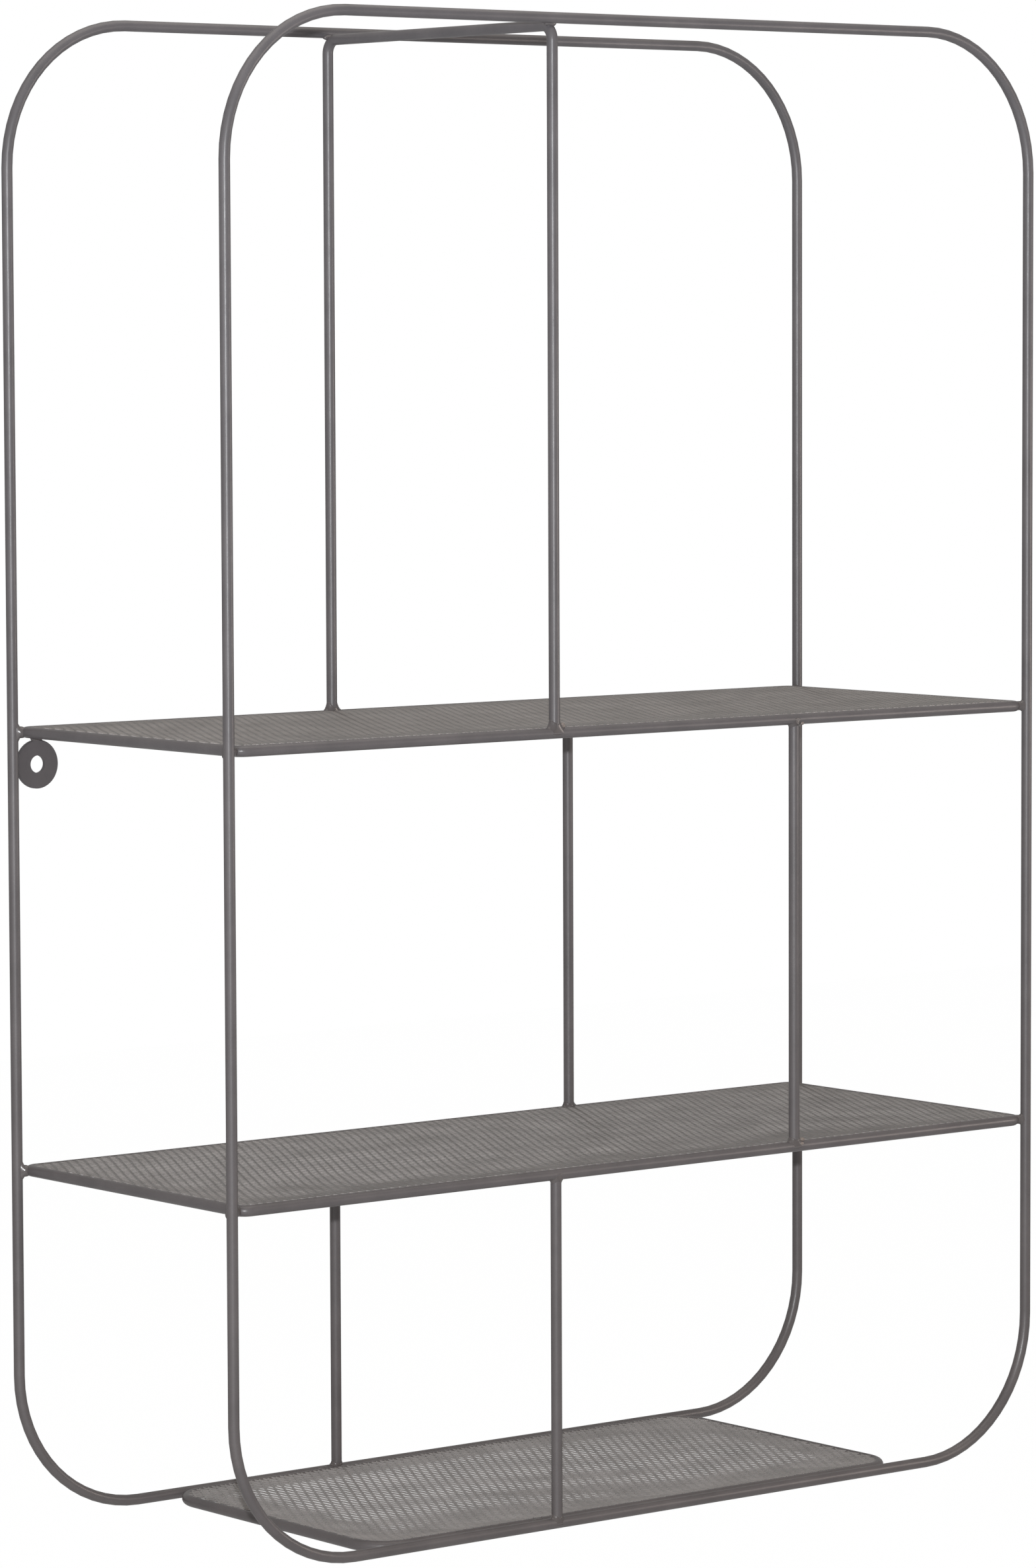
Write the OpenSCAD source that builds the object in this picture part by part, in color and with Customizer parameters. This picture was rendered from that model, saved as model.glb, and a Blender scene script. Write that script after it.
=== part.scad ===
// Wire wall shelf: two upright rod loops carry two mesh shelves and a mesh tray.
// The origin is the middle of the base. +X is to the right, +Y to the wall, +Z up.
// Sizes are in millimetres. Levels are taken from the middle of the bottom rails.

/* [Body] */
// Overall width across the two loops
body_w = 600; // [520:10:760]
// Overall depth from the front loop to the wall
body_d = 216; // [180:2:280]
// Overall height
body_h = 860; // [780:10:1000]

/* [Rods] */
// Diameter of every rod, with its coat
rod_d = 6.3; // [5.5:0.1:7]
// Radius of the loops' corners, at the middle of the rod
loop_radius = 82; // [60:1:95]
// Radius of the shelf rings' corners, at the middle of the rod
ring_radius = 6; // [5:1:14]
// Gap between pieces that are welded together
seat = 0.3; // [0.2:0.05:0.4]

/* [Shelves] */
// Level of the upper shelf's rods
upper_level = 452; // [400:1:520]
// Level of the middle shelf's rods
middle_level = 200.5; // [160:0.5:260]
// How far the mesh of a shelf sinks below its edge
shelf_dish = 1.5; // [0:0.1:2]

/* [Tray] */
// Width of the tray at the bottom
tray_w = 396; // [320:2:440]
// Radius of the tray's corners, at the middle of the rod
tray_radius = 22; // [14:1:26]
// How far the mesh of the tray sinks below its edge
tray_dish = 4.8; // [3:0.1:5]

/* [Dividers] */
// Place of the top divider, from the middle of the width
top_divider_x = -70; // [-150:1:150]
// Place of the middle posts
middle_post_x = 110; // [-150:1:150]
// Place of the bottom posts
bottom_post_x = -70; // [-130:1:130]
// Radius of the top divider's bends, at the middle of the rod
divider_radius = 8; // [6:0.5:12]

/* [Mesh] */
// Thickness of the mesh sheets
mesh_t = 1.2; // [0.8:0.1:1.5]
// Width of a strand of the mesh
strand_w = 2.4; // [1.5:0.1:3]
// Half the width of one diamond of the mesh
mesh_step_x = 15.6; // [15.4:0.2:22]
// Half the length of one diamond of the mesh
mesh_step_y = 26.4; // [24:0.2:34]
// How far the mesh reaches past the middle of the rods that carry it
mesh_reach = 1; // [0:0.1:1.5]
// Width of the slope that falls from the front and left edges of a mesh
dish_ramp = 45; // [40:1:60]
// Width of the slow climb to the rear and right edges of a mesh
dish_climb = 150; // [60:5:160]

/* [Wall eyelet] */
// Diameter of the wall eyelet
eyelet_d = 28; // [24:0.5:32]
// Diameter of its screw hole
eyelet_hole_d = 10; // [6:0.5:12]
// Thickness of the eyelet
eyelet_t = 2.5; // [2:0.1:3]
// Chamfer on the eyelet's rim
eyelet_chamfer = 0.4; // [0.2:0.1:0.6]
// How far the eyelet's middle lies below the upper shelf's rods
eyelet_drop = 18.9; // [18:0.1:22]

/* [Welds] */
// Gap between weld metal and the pieces that it joins
weld_gap = 0.1; // [0.05:0.01:0.12]
// How far a weld stands out from a post
weld_w = 1.2; // [1:0.1:1.4]
// How far a weld climbs along a post
weld_h = 2; // [1.5:0.1:3]
// Radius of a weld neck where it meets a rod
neck_end_r = 2.7; // [2.4:0.05:2.7]
// Radius of a weld neck halfway between two rods
neck_waist_r = 2.4; // [1.6:0.05:2.6]
// Radius of a tack weld
tack_r = 1.6; // [1.4:0.1:1.8]
// Length of a tack weld
tack_len = 9; // [6:0.5:12]
// Space between the end of a tray rod's straight part and its tack weld
tack_inset = 15; // [10:1:40]
// Space between a bottom post and the tack welds beside it
tack_beside_post = 12; // [10:1:30]

/* [Hidden] */
$fn = 48;

ROD_COLOUR = [0.47, 0.45, 0.43];
MESH_COLOUR = [0.55, 0.53, 0.50];
WELD_COLOUR = [0.42, 0.40, 0.38];
FRONT = -1;
REAR = 1;

rod_r = rod_d / 2;
loop_w = body_w - rod_d;
loop_d = body_d - rod_d;
loop_h = body_h - rod_d;
rail_z = rod_r;
top_rail_z = body_h - rod_r;
upper_z = rail_z + upper_level;
middle_z = rail_z + middle_level;

// The shelf rings fill the width between the uprights and lie in the loops' planes.
ring_w = loop_w - 2 * (rod_d + seat);
ring_d = loop_d;
// The tray's ring lies between the two bottom rails.
tray_ring_w = tray_w - rod_d;
tray_ring_d = loop_d - 2 * (rod_d + seat);

// Rods that stand on or hang under another rod stop short of it by half a rod and the seat.
rod_stop = rod_r + seat;

// The divider's bends touch the top rails from below.
divider_z = top_rail_z + divider_radius
            - sqrt(pow(divider_radius + rod_d + seat, 2) - pow(divider_radius, 2));

eyelet_x = -loop_w / 2 + rod_stop + eyelet_d / 2;
eyelet_z = upper_z - eyelet_drop;

// Straight rods along each axis, about their middle, and a quarter bend about the origin
module rod_x(length, r = rod_r) { rotate([0, 90, 0]) cylinder(r = r, h = length, center = true); }
module rod_y(length, r = rod_r) { rotate([90, 0, 0]) cylinder(r = r, h = length, center = true); }
module rod_z(length, r = rod_r) { cylinder(r = r, h = length, center = true); }
module bend(radius, r = rod_r) { rotate_extrude(angle = 90) translate([radius, 0]) circle(r = r); }

// A rod bent into a flat ring in the XY plane
module rod_ring(width, depth, radius, r = rod_r) {
    for (side = [-1, 1]) {
        translate([0, side * depth / 2, 0]) rod_x(width - 2 * radius, r);
        translate([side * width / 2, 0, 0]) rod_y(depth - 2 * radius, r);
    }
    for (corner = [0:3]) {
        sign_x = (corner == 0 || corner == 3) ? 1 : -1;
        sign_y = corner < 2 ? 1 : -1;
        translate([sign_x * (width / 2 - radius), sign_y * (depth / 2 - radius), 0])
            rotate([0, 0, corner * 90])
                bend(radius, r);
    }
}

module loop(side, r = rod_r) {
    translate([0, side * loop_d / 2, body_h / 2])
        rotate([90, 0, 0])
            rod_ring(loop_w, loop_h, loop_radius, r);
}

module shelf_ring(z, r = rod_r) { translate([0, 0, z]) rod_ring(ring_w, ring_d, ring_radius, r); }

module tray_ring(r = rod_r) {
    translate([0, 0, rail_z]) rod_ring(tray_ring_w, tray_ring_d, tray_radius, r);
}

// An upright rod in the plane of a loop, between the rods at two levels
module post(x, side, low_z, high_z, r = rod_r) {
    translate([x, side * loop_d / 2, low_z + rod_stop])
        cylinder(r = r, h = high_z - low_z - 2 * rod_stop);
}

// One rod bent into an upside-down U across the depth
module divider(r = rod_r) {
    leg_h = divider_z - divider_radius - upper_z - rod_stop;
    translate([top_divider_x, 0, divider_z]) rod_y(loop_d - 2 * divider_radius, r);
    for (side = [FRONT, REAR]) {
        translate([top_divider_x, side * loop_d / 2, upper_z + rod_stop])
            cylinder(r = r, h = leg_h);
        translate([top_divider_x, side * (loop_d / 2 - divider_radius), divider_z - divider_radius])
            rotate([0, 0, side * 90])
                rotate([90, 0, 0])
                    bend(divider_radius, r);
    }
}

// The eyelet's disc with its hole, its back in the plane of the wall
module eyelet_disc() {
    outer_r = eyelet_d / 2;
    translate([eyelet_x, body_d / 2, eyelet_z])
        rotate([90, 0, 0])
            rotate_extrude()
                polygon([[eyelet_hole_d / 2, 0],
                         [outer_r - eyelet_chamfer, 0],
                         [outer_r, eyelet_chamfer],
                         [outer_r, eyelet_t - eyelet_chamfer],
                         [outer_r - eyelet_chamfer, eyelet_t],
                         [eyelet_hole_d / 2, eyelet_t]]);
}

// Curve from 0 to 1 that starts steep and ends level
function settle(t, power) = 1 - pow(1 - min(max(t, 0), 1), power);

// Splits a four-sided face into two triangles
function halves(q) = [[q[0], q[1], q[2]], [q[0], q[2], q[3]]];

// A sheet of diamond mesh with cut edges, dished, deepest near its front left. Strands cross at the
// knots, the odd points of a grid, so that each cut edge is a row of half diamonds. One of
// these is centred on split_x, where a post can stand on the rod below the mesh.
module diamond_mesh(width, depth, split_x, dish) {
    left_steps = 2 * round((width / 2 + split_x) / (2 * mesh_step_x));
    right_steps = 2 * round((width / 2 - split_x) / (2 * mesh_step_x));
    cols = left_steps + right_steps;
    rows = 2 * round(depth / (2 * mesh_step_y));
    knots = rows / 2 * (cols + 1) + cols / 2;
    slope = atan2(mesh_step_y, mesh_step_x);
    // The four corners of a knot: right, far, left and near
    half_w = strand_w / 2 / sin(slope);
    half_l = strand_w / 2 / cos(slope);
    offsets = [[half_w, 0], [0, half_l], [-half_w, 0], [0, -half_l]];

    function grid_x(i) =
        i <= left_steps
        ? -width / 2 + i * (split_x + width / 2) / left_steps
        : split_x + (i - left_steps) * (width / 2 - split_x) / right_steps;
    function grid_y(j) = -depth / 2 + j * depth / rows;
    function within(v, half) = min(max(v, -half), half);
    function floor_z(x, y) =
        -dish * settle((depth / 2 + y) / dish_ramp, 2) * settle((width / 2 + x) / dish_ramp, 2)
              * settle((depth / 2 - y) / dish_climb, 1.5) * settle((width / 2 - x) / dish_climb, 1.5);
    function corner(i, j, k, z) =
        let (x = within(grid_x(i) + offsets[k][0], width / 2),
             y = within(grid_y(j) + offsets[k][1], depth / 2))
        [x, y, z + floor_z(x, y)];
    function sheet(z) =
        [for (j = [0:rows]) for (i = [(j + 1) % 2:2:cols]) for (k = [0:3]) corner(i, j, k, z)];
    function at(i, j, k) =
        4 * (floor(j / 2) * (cols + 1) + (j % 2) * cols / 2 + floor(i / 2)) + k;

    // Strands run right-and-back or left-and-back in turn from one grid square to the next.
    strands = [for (j = [0:rows - 1]) for (i = [0:cols - 1])
        (i + j) % 2 == 1
        ? [at(i, j, 0), at(i + 1, j + 1, 3), at(i + 1, j + 1, 2), at(i, j, 1)]
        : [at(i + 1, j, 1), at(i, j + 1, 0), at(i, j + 1, 3), at(i + 1, j, 2)]];
    crossings = [for (j = [0:rows]) for (i = [(j + 1) % 2:2:cols])
        let (first = (i == 0 || i == cols) ? 0 : 1)
        [for (k = [0:3]) at(i, j, (k + first) % 4)]];
    cut_edges = concat(
        [for (i = [1:2:cols]) each [[at(i, 0, 2), at(i, 0, 3)], [at(i, 0, 3), at(i, 0, 0)]]],
        [for (j = [1:2:rows]) each [[at(cols, j, 3), at(cols, j, 0)], [at(cols, j, 0), at(cols, j, 1)]]],
        [for (i = [1:2:cols]) each [[at(i, rows, 0), at(i, rows, 1)], [at(i, rows, 1), at(i, rows, 2)]]],
        [for (j = [1:2:rows]) each [[at(0, j, 1), at(0, j, 2)], [at(0, j, 2), at(0, j, 3)]]]);
    edges = concat([for (s = strands) each [[s[0], s[1]], [s[2], s[3]]]], cut_edges);

    // Points of the underside follow those of the top, so they are this many further on.
    under = 4 * knots;
    top = [for (q = concat(strands, crossings)) each halves(q)];
    bottom = [for (t = top) [t[2] + under, t[1] + under, t[0] + under]];
    walls = [for (e = edges) each halves([e[0] + under, e[1] + under, e[1], e[0]])];
    clockwise = [for (t = concat(top, bottom, walls)) [t[2], t[1], t[0]]];
    polyhedron(points = concat(sheet(mesh_t), sheet(0)), faces = clockwise);
}

module shelf_mesh(z, split_x) {
    translate([0, 0, z + rod_stop])
        diamond_mesh(ring_w + 2 * mesh_reach, ring_d + 2 * mesh_reach, split_x, shelf_dish);
}

// Weld metal between two rods whose middles are this far apart, along +Z from the origin
module neck(length) {
    rotate_extrude()
        polygon([[0, 0], [neck_end_r, 0], [neck_waist_r, length / 2], [neck_end_r, length], [0, length]]);
}

// Weld metal round the end of a post that meets a rod along X at the origin, with the post
// above it for up = 1 and below it for up = -1
module end_weld(up) {
    difference() {
        mirror([0, 0, up > 0 ? 0 : 1])
            rotate_extrude()
                polygon([[0, rod_r / 2],
                         [rod_r + weld_w / 2, rod_r / 2],
                         [rod_r + weld_w, rod_r],
                         [rod_r + 2 * weld_gap, rod_r + seat + weld_h],
                         [0, rod_r + seat + weld_h]]);
        rod_x(4 * rod_d, rod_r + weld_gap);
        translate([0, 0, up * (rod_stop - weld_gap + rod_d)]) rod_z(2 * rod_d, rod_r + weld_gap);
    }
}

// The welds round one end of a front and rear pair of posts, dressed flush with the loops
module pair_welds(x, z, up) {
    intersection() {
        for (side = [FRONT, REAR]) translate([x, side * loop_d / 2, z]) end_weld(up);
        translate([x, 0, z]) cube([4 * rod_d, body_d, 4 * rod_d], center = true);
    }
}

module front_loop() { color(ROD_COLOUR) loop(FRONT); }
module rear_loop() { color(ROD_COLOUR) loop(REAR); }
module top_divider() { color(ROD_COLOUR) divider(); }
module middle_post_front() { color(ROD_COLOUR) post(middle_post_x, FRONT, middle_z, upper_z); }
module middle_post_rear() { color(ROD_COLOUR) post(middle_post_x, REAR, middle_z, upper_z); }
module bottom_post_front() { color(ROD_COLOUR) post(bottom_post_x, FRONT, rail_z, middle_z); }
module bottom_post_rear() { color(ROD_COLOUR) post(bottom_post_x, REAR, rail_z, middle_z); }
module upper_shelf_frame() { color(ROD_COLOUR) shelf_ring(upper_z); }
module upper_shelf_mesh() { color(MESH_COLOUR) shelf_mesh(upper_z, top_divider_x); }
module middle_shelf_frame() { color(ROD_COLOUR) shelf_ring(middle_z); }
module middle_shelf_mesh() { color(MESH_COLOUR) shelf_mesh(middle_z, middle_post_x); }
module tray_frame() { color(ROD_COLOUR) tray_ring(); }

module tray_mesh() {
    color(MESH_COLOUR)
        translate([0, 0, rail_z + rod_stop])
            diamond_mesh(tray_ring_w + 2 * mesh_reach, tray_ring_d + 2 * mesh_reach, 0, tray_dish);
}

module wall_eyelet() { color(ROD_COLOUR) eyelet_disc(); }

// Flared necks between the corners of the shelf rings and the uprights beside them
module corner_welds() {
    reach_x = (loop_w - ring_w) / 2 + ring_radius;
    reach_y = (loop_d - ring_d) / 2 + ring_radius;
    color(WELD_COLOUR)
        difference() {
            for (z = [middle_z, upper_z])
                for (side_x = [0, 1])
                    for (side_y = [0, 1])
                        mirror([side_x, 0, 0])
                            mirror([0, side_y, 0])
                                translate([ring_w / 2 - ring_radius, ring_d / 2 - ring_radius, z])
                                    rotate([0, 90, atan2(reach_y, reach_x)])
                                        translate([0, 0, ring_radius])
                                            neck(norm([reach_x, reach_y]) - ring_radius);
            for (side = [FRONT, REAR]) loop(side, rod_r + weld_gap);
            for (z = [middle_z, upper_z]) shelf_ring(z, rod_r + weld_gap);
        }
}

module post_welds() {
    color(WELD_COLOUR) {
        pair_welds(bottom_post_x, rail_z, 1);
        pair_welds(bottom_post_x, middle_z, -1);
        pair_welds(middle_post_x, middle_z, 1);
        pair_welds(middle_post_x, upper_z, -1);
    }
}

// Beads at the divider's feet, and necks where its bends pass under the top rails
module divider_welds() {
    rise = top_rail_z - divider_z + divider_radius;
    color(WELD_COLOUR) {
        pair_welds(top_divider_x, upper_z, 1);
        difference() {
            for (side = [FRONT, REAR])
                translate([top_divider_x, side * (loop_d / 2 - divider_radius), divider_z - divider_radius])
                    rotate([-side * atan2(divider_radius, rise), 0, 0])
                        translate([0, 0, divider_radius])
                            neck(rod_d + seat);
            divider(rod_r + weld_gap);
            for (side = [FRONT, REAR])
                translate([top_divider_x, side * loop_d / 2, top_rail_z]) rod_x(4 * rod_d, rod_r + weld_gap);
        }
    }
}

// Tack welds in the groove between the tray's ring and the bottom rails: below it near the
// corners, and on top of it beside the bottom posts
module tray_welds() {
    groove_y = loop_d / 2 - (rod_d + seat) / 2;
    end_x = tray_ring_w / 2 - tray_radius - tack_inset;
    tack_rise = rod_r - tack_r;
    color(WELD_COLOUR)
        difference() {
            for (side = [FRONT, REAR]) {
                for (end = [-1, 1])
                    translate([end * end_x, side * groove_y, rail_z - tack_rise]) rod_x(tack_len, tack_r);
                translate([bottom_post_x - tack_beside_post, side * groove_y, rail_z + tack_rise])
                    rod_x(tack_len, tack_r);
            }
            for (side = [FRONT, REAR])
                translate([0, side * loop_d / 2, rail_z]) rod_x(loop_w, rod_r + weld_gap);
            for (side = [FRONT, REAR])
                translate([0, side * tray_ring_d / 2, rail_z]) rod_x(tray_w, rod_r + weld_gap);
        }
}

// Tack welds from the eyelet's rim to the upright beside it and to the rod above it
module eyelet_welds() {
    tack_y = body_d / 2 - tack_r - weld_gap;
    rim_top = eyelet_z + eyelet_d / 2;
    color(WELD_COLOUR)
        difference() {
            union() {
                translate([-loop_w / 2 + rod_r + seat / 2, tack_y, eyelet_z]) rod_z(tack_len, tack_r);
                translate([eyelet_x, tack_y, (rim_top + upper_z - rod_r) / 2]) rod_x(tack_len, tack_r);
            }
            translate([-loop_w / 2, loop_d / 2, eyelet_z]) rod_z(eyelet_d, rod_r + weld_gap);
            translate([eyelet_x, ring_d / 2, upper_z]) rod_x(eyelet_d, rod_r + weld_gap);
            translate([eyelet_x, body_d / 2 + weld_gap, eyelet_z])
                rotate([90, 0, 0])
                    cylinder(r = eyelet_d / 2 + weld_gap, h = eyelet_t + 2 * weld_gap);
        }
}

front_loop();
rear_loop();
top_divider();
middle_post_front();
middle_post_rear();
bottom_post_front();
bottom_post_rear();
upper_shelf_frame();
upper_shelf_mesh();
middle_shelf_frame();
middle_shelf_mesh();
tray_frame();
tray_mesh();
wall_eyelet();
corner_welds();
post_welds();
divider_welds();
tray_welds();
eyelet_welds();
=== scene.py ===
"""Looks of the wire wall shelf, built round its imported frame. Every length is in metres."""

import itertools
import math

import bpy
import numpy as np
from mathutils import Matrix, Vector, noise


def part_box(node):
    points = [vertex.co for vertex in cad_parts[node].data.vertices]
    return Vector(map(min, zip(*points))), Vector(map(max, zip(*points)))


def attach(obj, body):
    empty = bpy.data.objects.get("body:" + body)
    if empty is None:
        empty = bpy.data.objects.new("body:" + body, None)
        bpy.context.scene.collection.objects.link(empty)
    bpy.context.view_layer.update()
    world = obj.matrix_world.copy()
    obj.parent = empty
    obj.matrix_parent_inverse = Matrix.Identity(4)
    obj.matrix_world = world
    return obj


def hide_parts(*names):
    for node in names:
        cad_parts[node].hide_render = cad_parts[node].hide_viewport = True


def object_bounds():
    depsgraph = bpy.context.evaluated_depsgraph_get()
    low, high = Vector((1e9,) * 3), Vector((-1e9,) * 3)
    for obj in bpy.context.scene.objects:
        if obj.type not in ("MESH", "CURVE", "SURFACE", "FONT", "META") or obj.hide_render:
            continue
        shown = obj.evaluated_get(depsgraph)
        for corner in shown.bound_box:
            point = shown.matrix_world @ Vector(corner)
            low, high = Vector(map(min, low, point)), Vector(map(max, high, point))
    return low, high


MM = 0.001
BODY = "root"
LEFT, RIGHT = -1, 1
FRONT, REAR = -1, 1
DOWN, UP = -1, 1

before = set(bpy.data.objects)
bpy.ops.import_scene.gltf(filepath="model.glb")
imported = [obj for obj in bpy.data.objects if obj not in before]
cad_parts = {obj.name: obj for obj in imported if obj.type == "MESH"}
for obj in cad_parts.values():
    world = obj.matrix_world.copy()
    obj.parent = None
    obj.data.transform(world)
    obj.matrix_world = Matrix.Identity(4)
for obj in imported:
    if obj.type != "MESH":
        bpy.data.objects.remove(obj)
cad_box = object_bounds()


def middle_x(node):
    low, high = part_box(node)
    return (low.x + high.x) / 2


# Sizes that the frame gives
post_low, post_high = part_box("middle_post_front")
ROD_R = (post_high.x - post_low.x) / 2
LOOP_X = cad_box[1].x - ROD_R
LOOP_Y = cad_box[1].y - ROD_R
RAIL_Z = ROD_R
TOP_RAIL_Z = cad_box[1].z - ROD_R
MIDDLE_POST_X = middle_x("middle_post_front")
BOTTOM_POST_X = middle_x("bottom_post_front")
DIVIDER_X = middle_x("top_divider")
DIVIDER_TOP_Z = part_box("top_divider")[1].z - ROD_R

# Radii of the bends, at the middle of the rod
DIVIDER_BEND = 8 * MM
SHELF_BEND = 6 * MM
TRAY_BEND = 22 * MM


class Ring:
    """The middle line of a flat rod ring: a rounded rectangle about the Z axis."""

    def __init__(self, node, corner):
        low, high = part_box(node)
        self.half_x = high.x - ROD_R
        self.half_y = high.y - ROD_R
        self.z = (low.z + high.z) / 2
        self.corner = corner

    def outside(self, x, y):
        """How far points lie outside the line; negative inside it."""
        past_x = np.abs(x) - (self.half_x - self.corner)
        past_y = np.abs(y) - (self.half_y - self.corner)
        past = np.hypot(np.maximum(past_x, 0), np.maximum(past_y, 0))
        return past + np.minimum(np.maximum(past_x, past_y), 0) - self.corner


UPPER = Ring("upper_shelf_frame", SHELF_BEND)
MIDDLE = Ring("middle_shelf_frame", SHELF_BEND)
TRAY = Ring("tray_frame", TRAY_BEND)


# Shader nodes

# The part of a noise node's output that a look is spread over
NOISE_LOW = 0.3
NOISE_HIGH = 0.7
# How much of the white surroundings shows in gloss
GLOSS_SHARE = 0.42


def new_material(name):
    """A material with its node tree, its shader and the object's own coordinates."""
    material = bpy.data.materials.new(name)
    material.use_nodes = True
    tree = material.node_tree
    shader = tree.nodes["Principled BSDF"]
    place = tree.nodes.new("ShaderNodeTexCoord").outputs["Object"]
    return material, tree, shader, place


def noise_node(tree, place, scale, detail=2.0, roughness=0.5):
    """A noise pattern with scale grains to the metre."""
    node = tree.nodes.new("ShaderNodeTexNoise")
    node.inputs["Scale"].default_value = scale
    node.inputs["Detail"].default_value = detail
    node.inputs["Roughness"].default_value = roughness
    tree.links.new(place, node.inputs["Vector"])
    return node.outputs["Fac"]


def ramp_node(tree, value, stops):
    """A colour ramp through (position, colour) stops."""
    node = tree.nodes.new("ShaderNodeValToRGB")
    elements = node.color_ramp.elements
    while len(elements) < len(stops):
        elements.new(0.5)
    for element, (position, colour) in zip(elements, stops):
        element.position = position
        element.color = (*colour, 1)
    tree.links.new(value, node.inputs["Fac"])
    return node.outputs["Color"]


def range_node(tree, value, low, high, from_low=NOISE_LOW, from_high=NOISE_HIGH):
    """Spreads a value that goes from from_low to from_high over low to high."""
    node = tree.nodes.new("ShaderNodeMapRange")
    node.inputs["From Min"].default_value = from_low
    node.inputs["From Max"].default_value = from_high
    node.inputs["To Min"].default_value = low
    node.inputs["To Max"].default_value = high
    tree.links.new(value, node.inputs["Value"])
    return node.outputs["Result"]


def mix_node(tree, blend, share, first, second):
    """Blends the share, a number, of the second output into the first one."""
    node = tree.nodes.new("ShaderNodeMix")
    node.data_type = "RGBA"
    node.blend_type = blend
    node.inputs["Factor"].default_value = share
    tree.links.new(first, node.inputs["A"])
    tree.links.new(second, node.inputs["B"])
    return node.outputs["Result"]


def bump_node(tree, height, strength, distance, under=None):
    """Bumps of a height pattern, laid over the bumps under them if there are any."""
    node = tree.nodes.new("ShaderNodeBump")
    node.inputs["Strength"].default_value = strength
    node.inputs["Distance"].default_value = distance
    tree.links.new(height, node.inputs["Height"])
    if under is not None:
        tree.links.new(under, node.inputs["Normal"])
    return node.outputs["Normal"]


def math_node(tree, operation, first, second):
    """first is an output; second is an output or a number."""
    node = tree.nodes.new("ShaderNodeMath")
    node.operation = operation
    tree.links.new(first, node.inputs[0])
    if isinstance(second, float):
        node.inputs[1].default_value = second
    else:
        tree.links.new(second, node.inputs[1])
    return node.outputs[0]


def seen_directly(tree):
    """1 for the camera's rays and for what shows through glass, less for what shows in
    gloss, else 0."""
    path = tree.nodes.new("ShaderNodeLightPath")
    gloss = math_node(tree, "MULTIPLY", path.outputs["Is Glossy Ray"], GLOSS_SHARE)
    share = math_node(tree, "MAXIMUM", path.outputs["Is Camera Ray"], gloss)
    return math_node(tree, "MAXIMUM", share, path.outputs["Is Transmission Ray"])


def mixed_surface(tree, share, first, second, output):
    """Shows the share, an output, of the second shader and the rest of the first one."""
    node = tree.nodes.new("ShaderNodeMixShader")
    tree.links.new(share, node.inputs[0])
    tree.links.new(first.outputs[0], node.inputs[1])
    tree.links.new(second.outputs[0], node.inputs[2])
    tree.links.new(node.outputs[0], tree.nodes[output].inputs["Surface"])


# Materials

# Patterns of the powder coat, in grains to the metre
MOTTLE_SCALE = 34
FLAKE_SCALE = 2600
GLOSS_SCALE = 120
PEEL_SCALE = 160
GRAIN_SCALE = 900
# Places of the dark, the middle and the light tone in the mottling
MOTTLE_STOPS = (0.32, 0.5, 0.7)
# Places and tones of the metal flakes. The even tone leaves the coat as it is.
FLAKE_STOPS = (0, 0.34, 0.9)
FLAKE_LIGHT = (0.62, 0.61, 0.60)
FLAKE_EVEN = (0.5, 0.5, 0.5)
FLAKE_DARK = (0.42, 0.42, 0.42)
FLAKE_SHARE = 0.5
# Heights of the broad waves and of the fine grain, and their strengths
PEEL_HEIGHT = 0.25 * MM
PEEL_STRENGTH = 0.25
GRAIN_HEIGHT = 0.06 * MM
GRAIN_STRENGTH = 0.25
COAT_METALLIC = 0.05
COAT_IOR = 1.46

# The dark, the middle and the light tone of each coat
ROD_TONES = ((0.15, 0.14, 0.144), (0.168, 0.156, 0.161), (0.189, 0.175, 0.179))
# The eyelet's tones are darker than the rods': painted shade.
SHADED_DISC_TONES = ((0.114, 0.107, 0.112), (0.128, 0.118, 0.124), (0.143, 0.132, 0.139))
NET_TONES = ((0.19, 0.176, 0.17), (0.225, 0.208, 0.202), (0.262, 0.243, 0.236))
WELD_TONES = ((0.115, 0.103, 0.103), (0.159, 0.144, 0.144), (0.203, 0.185, 0.183))
# Spatter tones: paler and rosy, partly the spatter's own colour and partly painted highlight.
SPATTER_AND_HIGHLIGHT_TONES = ((0.24, 0.2, 0.18), (0.33, 0.28, 0.255), (0.42, 0.37, 0.345))
# Painted shade over the coats: the tint at the bottom of the shelf, darker and browner for the
# weaker, warmer light there, and that at its top
PAINTED_SHADE_LOW = (0.83, 0.79, 0.765)
PAINTED_SHADE_HIGH = (0.97, 0.975, 1)

# Painted light and shade on the nets: the level way, to the left and a little to the front,
# that the strands' painted edges look, and the cosines between which a face goes from turned
# away to looking that way
PAINTED_LIGHT_WAY = (-0.906, -0.423, 0)
TURNED_COSINE = 0.36
FACING_COSINE = 0.55


def paint_light_by_facing(tree, colour, turned, facing):
    """The colour times facing on the strands' edges that look the marked way, and times
    turned on all other faces: painted light and shade, which draws the nets' fine lines."""
    cosine = tree.nodes.new("ShaderNodeVectorMath")
    cosine.operation = "DOT_PRODUCT"
    cosine.inputs[1].default_value = PAINTED_LIGHT_WAY
    normal = tree.nodes.new("ShaderNodeTexCoord").outputs["Normal"]
    tree.links.new(normal, cosine.inputs[0])
    factor = range_node(tree, cosine.outputs["Value"], turned, facing,
                        TURNED_COSINE, FACING_COSINE)
    return mix_node(tree, "MULTIPLY", 1.0, colour, factor)


def paint_shade_by_height(tree, colour, place):
    """The colour under painted shade: darker and browner towards the bottom, where less light
    falls.
    """
    axes = tree.nodes.new("ShaderNodeSeparateXYZ")
    tree.links.new(place, axes.inputs[0])
    share = range_node(tree, axes.outputs["Z"], 0, 1, 0, cad_box[1].z)
    tint = ramp_node(tree, share, [(0, PAINTED_SHADE_LOW), (1, PAINTED_SHADE_HIGH)])
    return mix_node(tree, "MULTIPLY", 1.0, colour, tint)


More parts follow.
